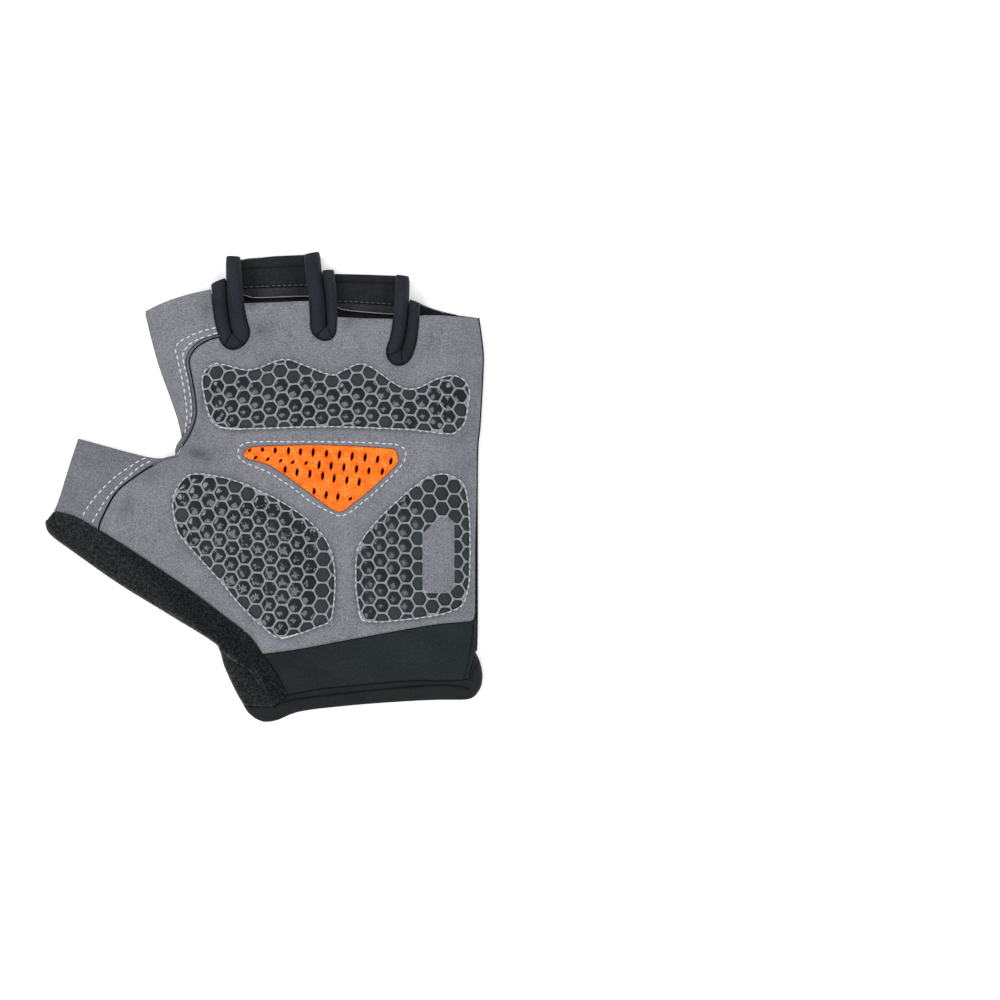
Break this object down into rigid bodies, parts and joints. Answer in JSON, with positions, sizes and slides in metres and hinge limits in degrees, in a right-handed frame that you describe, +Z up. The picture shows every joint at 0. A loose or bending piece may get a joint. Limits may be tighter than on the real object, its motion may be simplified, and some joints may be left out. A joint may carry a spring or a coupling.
{
  "type": "fitness glove",
  "caption": "Half-finger glove for the left hand with a suede palm, raised honeycomb gel pads, an orange mesh vent, towelling thumb and stretch back.",
  "frame": {"origin": "centre of the glove's outline on the surface that it lies on", "axes": "+Z up out of the palm, +Y towards the fingertips, -X towards the thumb"},
  "size_m": [0.1496, 0.1594, 0.0164],
  "materials": {
    "suede": "mid-grey synthetic suede with a short brushed nap, matt",
    "stretch": "black stretch knit, matt",
    "gusset": "black smooth elastane knit, softly matt",
    "cuff": "black neoprene with a fine knit face, matt",
    "hem": "black folded stretch binding, matt",
    "towelling": "black looped terry towelling, rough and matt",
    "mesh": "bright orange perforated knit, softly matt",
    "gel": "dark glossy moulded cells on a grey web",
    "thread": "white sewing thread, slightly shiny"
  },
  "bodies": {
    "root": {"palm_panel": "suede", "index_panel": "suede", "thumb_panel": "suede", "mesh_vent": "mesh", "gel_pad_knuckle": "gel", "gel_pad_thenar": "gel", "gel_pad_heel": "gel", "cuff_panel": "cuff", "terry_thumb_panel": "towelling", "wrist_binding": "hem", "back_panel": "stretch", "fourchette_index_middle": "gusset", "fourchette_middle_ring": "gusset", "fourchette_ring_little": "gusset", "middle_finger_hem": "stretch", "ring_finger_hem": "stretch"}
  },
  "joints": []
}
